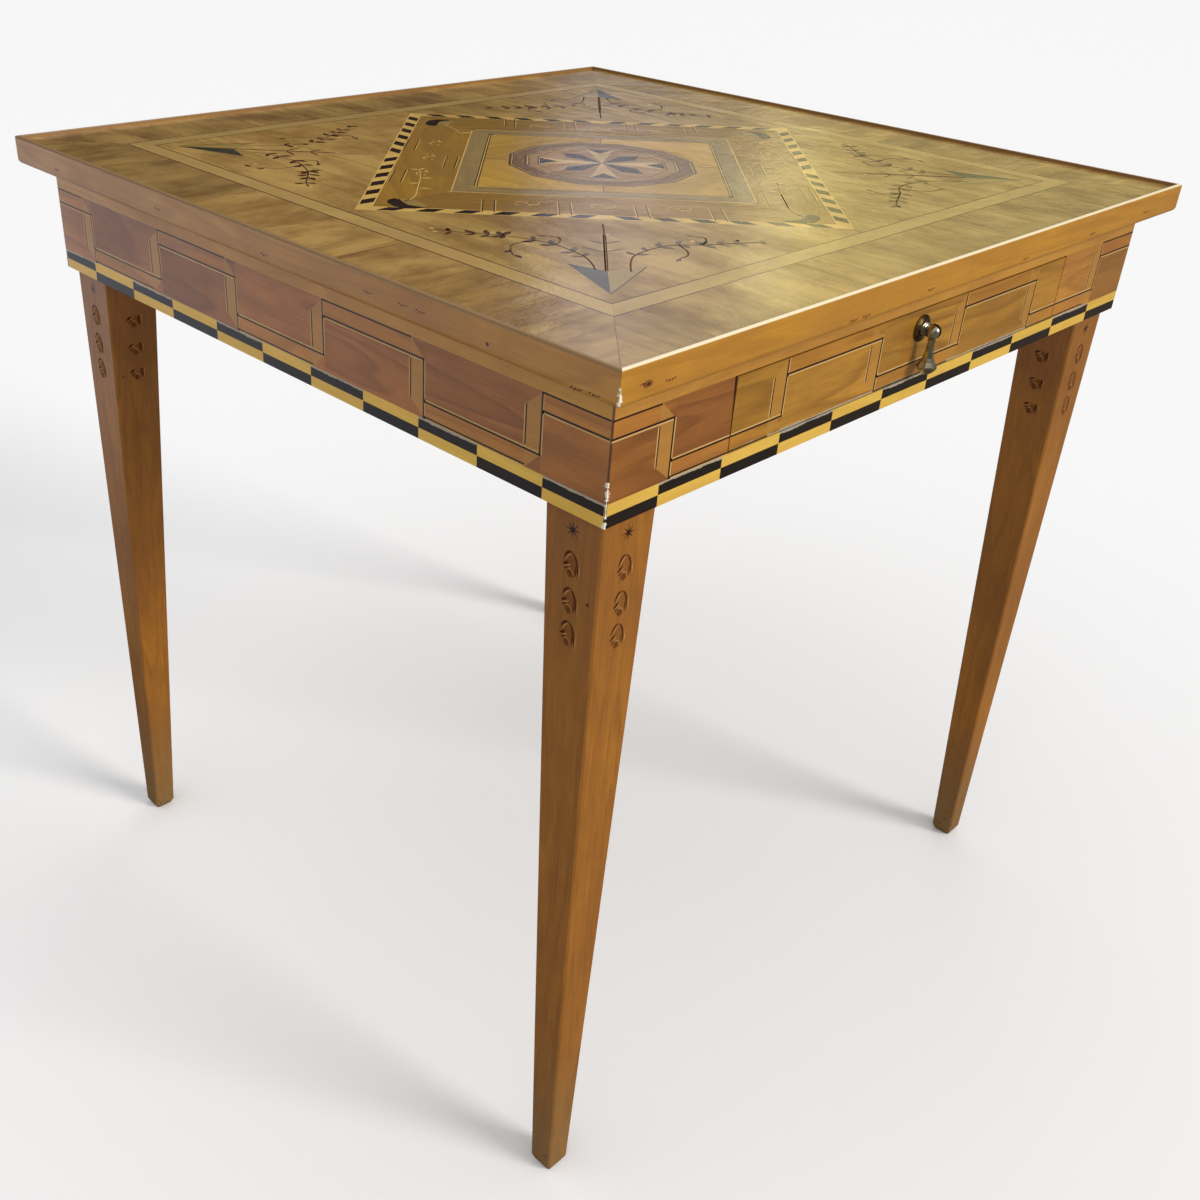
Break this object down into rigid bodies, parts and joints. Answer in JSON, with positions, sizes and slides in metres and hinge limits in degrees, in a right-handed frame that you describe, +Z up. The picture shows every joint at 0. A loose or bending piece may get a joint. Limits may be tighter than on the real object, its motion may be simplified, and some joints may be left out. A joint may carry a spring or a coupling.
{
  "type": "inlaid games table",
  "caption": "Square wooden games table with a marquetry top, an inlaid apron with a drawer that slides out on wooden runners, a hinged drop pull and slender tapered legs.",
  "frame": {"origin": "on the floor below the middle of the top", "axes": "+Z up, -Y the way the drawer opens, +X to the right of a person who faces the drawer"},
  "size_m": [0.776, 0.752, 0.78],
  "materials": {
    "edge_wood": "waxed fruitwood edge moulding",
    "border_wood": "waxed olive-brown veneer",
    "light_wood": "waxed pale veneer",
    "dark_wood": "ebonised veneer",
    "field_wood": "waxed burr-figured veneer",
    "diamond_wood": "waxed grey-brown veneer",
    "panel_wood": "waxed golden veneer",
    "medallion_wood": "waxed walnut veneer",
    "frieze_panel_wood": "waxed reddish-brown veneer",
    "frieze_strip_wood": "waxed lighter cross-grained veneer",
    "boxwood": "waxed boxwood veneer",
    "leg_wood": "waxed solid fruitwood",
    "carcase_wood": "bare softwood",
    "pull_metal": "aged bronze"
  },
  "bodies": {
    "frame": {"edge_front": "edge_wood", "edge_back": "edge_wood", "edge_left": "edge_wood", "edge_right": "edge_wood", "border_veneers": "border_wood", "light_band": "light_wood", "stripes_light": "light_wood", "arrowheads_light": "light_wood", "star_light": "light_wood", "top_strings_light": "light_wood", "stripes_dark": "dark_wood", "arrowheads_dark": "dark_wood", "star_dark": "dark_wood", "top_strings_dark": "dark_wood", "chequers_dark": "dark_wood", "corner_fields": "field_wood", "diamond_band": "diamond_wood", "panel_frame": "diamond_wood", "centre_panel": "panel_wood", "medallion_ring": "medallion_wood", "medallion_inner_ring": "medallion_wood", "star_ground": "medallion_wood", "frieze_panels": "frieze_panel_wood", "frieze_caps": "frieze_panel_wood", "frieze_strips": "frieze_strip_wood", "chequers_light": "boxwood", "leg_front_left": "leg_wood", "leg_front_right": "leg_wood", "leg_back_left": "leg_wood", "leg_back_right": "leg_wood", "top_core": "carcase_wood", "apron_left": "carcase_wood", "apron_right": "carcase_wood", "apron_back": "carcase_wood", "front_top_rail": "carcase_wood", "front_bottom_rail": "carcase_wood", "front_stile_left": "carcase_wood", "front_stile_right": "carcase_wood", "drawer_runner_left": "carcase_wood", "drawer_runner_right": "carcase_wood", "drawer_guide_left": "carcase_wood", "drawer_guide_right": "carcase_wood", "drawer_kicker_left": "carcase_wood", "drawer_kicker_right": "carcase_wood", "drawer_stops": "carcase_wood", "glue_blocks": "carcase_wood"},
    "drawer": {"drawer_front": "carcase_wood", "drawer_side_left": "carcase_wood", "drawer_side_right": "carcase_wood", "drawer_back": "carcase_wood", "drawer_bottom": "carcase_wood", "drawer_panels": "frieze_panel_wood", "drawer_strips": "frieze_strip_wood", "pull_rosette": "pull_metal", "pull_post": "pull_metal", "pull_nut": "pull_metal", "pull_pin": "pull_metal"},
    "pull_drop": {"pull_drop": "pull_metal"}
  },
  "joints": [
    {"name": "drawer_slide", "type": "slide", "parent": "frame", "child": "drawer", "axis": [0, -1, 0], "range_m": [0, 0.4]},
    {"name": "pull_swing", "type": "hinge", "parent": "drawer", "child": "pull_drop", "pos_m": [-0.006, -0.3633, 0.71815], "axis": [-1, 0, 0], "range_deg": [-5, 85]}
  ]
}
